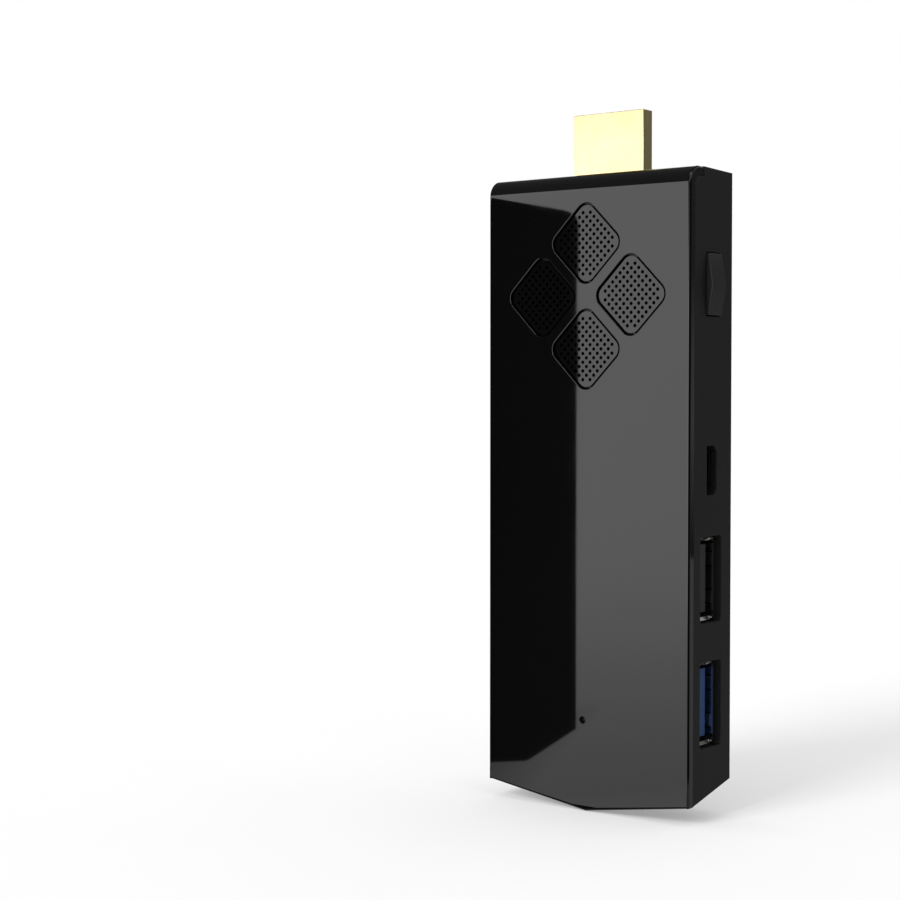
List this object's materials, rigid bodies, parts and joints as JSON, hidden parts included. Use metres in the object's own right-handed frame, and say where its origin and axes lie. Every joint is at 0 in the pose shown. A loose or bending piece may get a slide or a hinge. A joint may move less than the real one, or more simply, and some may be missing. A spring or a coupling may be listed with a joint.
{
  "type": "hdmi stick computer",
  "caption": "Slim pocket stick computer with a male video plug on one end, a gloss front cover with perforated vent windows, side sockets, a card slot, a power button and an inner fan.",
  "frame": {"origin": "on the middle line of the video plug, level with the plug end of the case", "axes": "+Z along the plug, away from the case; +Y from the front cover to the back; +X to the right seen from the front, the side with the sockets"},
  "size_m": [0.0412, 0.0138, 0.1166],
  "materials": {
    "gloss_black": "piano gloss",
    "matt_black": "fine matt texture",
    "smoke_lens": "smoked clear",
    "gold_plate": "bright gold plate",
    "black_nylon": "moulded",
    "blue_nylon": "moulded",
    "nickel_sheet": "nickel plate",
    "dark_nickel": "black nickel plate",
    "board_black": "solder mask",
    "package_green": "laminate",
    "chip_black": "moulded epoxy",
    "pad_grey": "soft pad",
    "sink_black": "black anodised",
    "screw_steel": "zinc plate",
    "ceramic_tan": "fired ceramic",
    "lens_white": "clear cast",
    "bronze": "sintered",
    "core_steel": "stacked sheet",
    "copper": "enamelled wire",
    "magnet_grey": "bonded ferrite",
    "shaft_steel": "ground",
    "wire_red": "insulation",
    "ivory": "moulded",
    "antenna_film": "polyimide film",
    "lead_black": "insulation",
    "cell_steel": "polished can"
  },
  "bodies": {
    "case": {"front_cover": "gloss_black", "vent_grille": "gloss_black", "rear_shell": "matt_black", "light_pipe": "smoke_lens", "hdmi_shell": "gold_plate", "hdmi_contacts": "gold_plate", "usb2_contacts": "gold_plate", "usb3_contacts": "gold_plate", "micro_usb_contacts": "gold_plate", "microsd_contacts": "gold_plate", "antenna_socket": "gold_plate", "hdmi_insulator": "black_nylon", "usb2_tongue": "black_nylon", "micro_usb_tongue": "black_nylon", "microsd_base": "black_nylon", "fan_frame": "black_nylon", "fan_connector": "black_nylon", "usb3_tongue": "blue_nylon", "usb2_shell": "nickel_sheet", "usb3_shell": "nickel_sheet", "microsd_shell": "nickel_sheet", "wifi_shield": "nickel_sheet", "battery_clip": "nickel_sheet", "micro_usb_shell": "dark_nickel", "main_board": "board_black", "wifi_module": "board_black", "processor": "package_green", "memory_chips": "chip_black", "storage_chip": "chip_black", "power_controller": "chip_black", "power_inductors": "chip_black", "thermal_pad": "pad_grey", "heat_sink": "sink_black", "fan_lid": "sink_black", "board_screws": "screw_steel", "heat_sink_screws": "screw_steel", "fan_screws": "screw_steel", "capacitors": "ceramic_tan", "indicator_led": "lens_white", "fan_bearing": "bronze", "fan_stator": "core_steel", "fan_coils": "copper", "fan_lead": "wire_red", "power_switch": "ivory", "antenna": "antenna_film", "antenna_lead": "lead_black", "rtc_battery": "cell_steel"},
    "button": {"power_button": "matt_black", "switch_plunger": "ivory"},
    "rotor": {"fan_rotor": "black_nylon", "fan_magnet": "magnet_grey", "fan_shaft": "shaft_steel"}
  },
  "joints": [
    {"name": "button_press", "type": "slide", "parent": "case", "child": "button", "axis": [-1, 0, 0], "range_m": [0, 0.0003], "stiffness_N_per_m": 4000},
    {"name": "fan_spin", "type": "hinge", "parent": "case", "child": "rotor", "pos_m": [0, -0.005, -0.02035], "axis": [0, 1, 0], "continuous": true}
  ]
}
